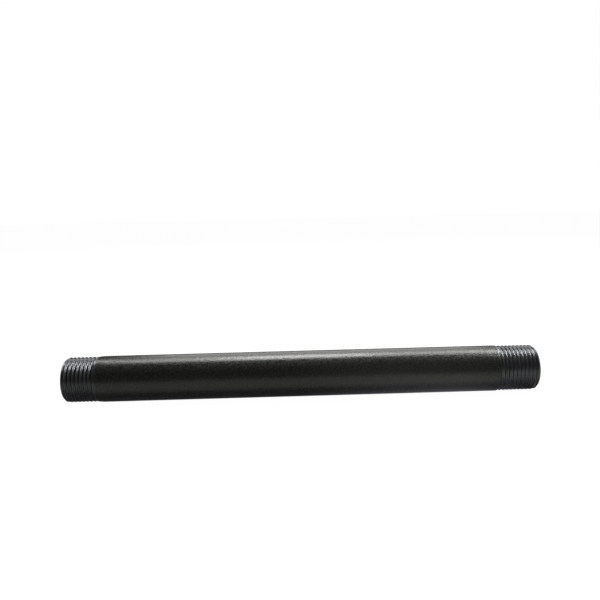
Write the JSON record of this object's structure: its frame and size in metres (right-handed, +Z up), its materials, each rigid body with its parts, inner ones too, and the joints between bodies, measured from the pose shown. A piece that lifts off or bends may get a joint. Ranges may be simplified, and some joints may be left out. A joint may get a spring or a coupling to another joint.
{
  "type": "threaded pipe nipple",
  "caption": "Straight steel pipe with a male pipe thread on each end and a black textured coat on its plain barrel, for joining fittings or building pipe furniture.",
  "frame": {"origin": "centre of the pipe, on its axis and halfway between the end faces", "axes": "+X along the pipe towards the end with the longer thread, +Z up, +Y away from the viewer"},
  "size_m": [0.22, 0.0214, 0.0214],
  "materials": {
    "bare_steel": "dark oiled steel with mill scale in the bore",
    "blackened_thread": "satin black, die-cut",
    "textured_coat": "black powder coat with a fine sand texture",
    "weld_scale": "rough grey-brown scale"
  },
  "bodies": {
    "root": {"pipe_wall": "bare_steel", "left_thread": "blackened_thread", "right_thread": "blackened_thread", "barrel_coat": "textured_coat", "weld_bead": "weld_scale"}
  },
  "joints": []
}
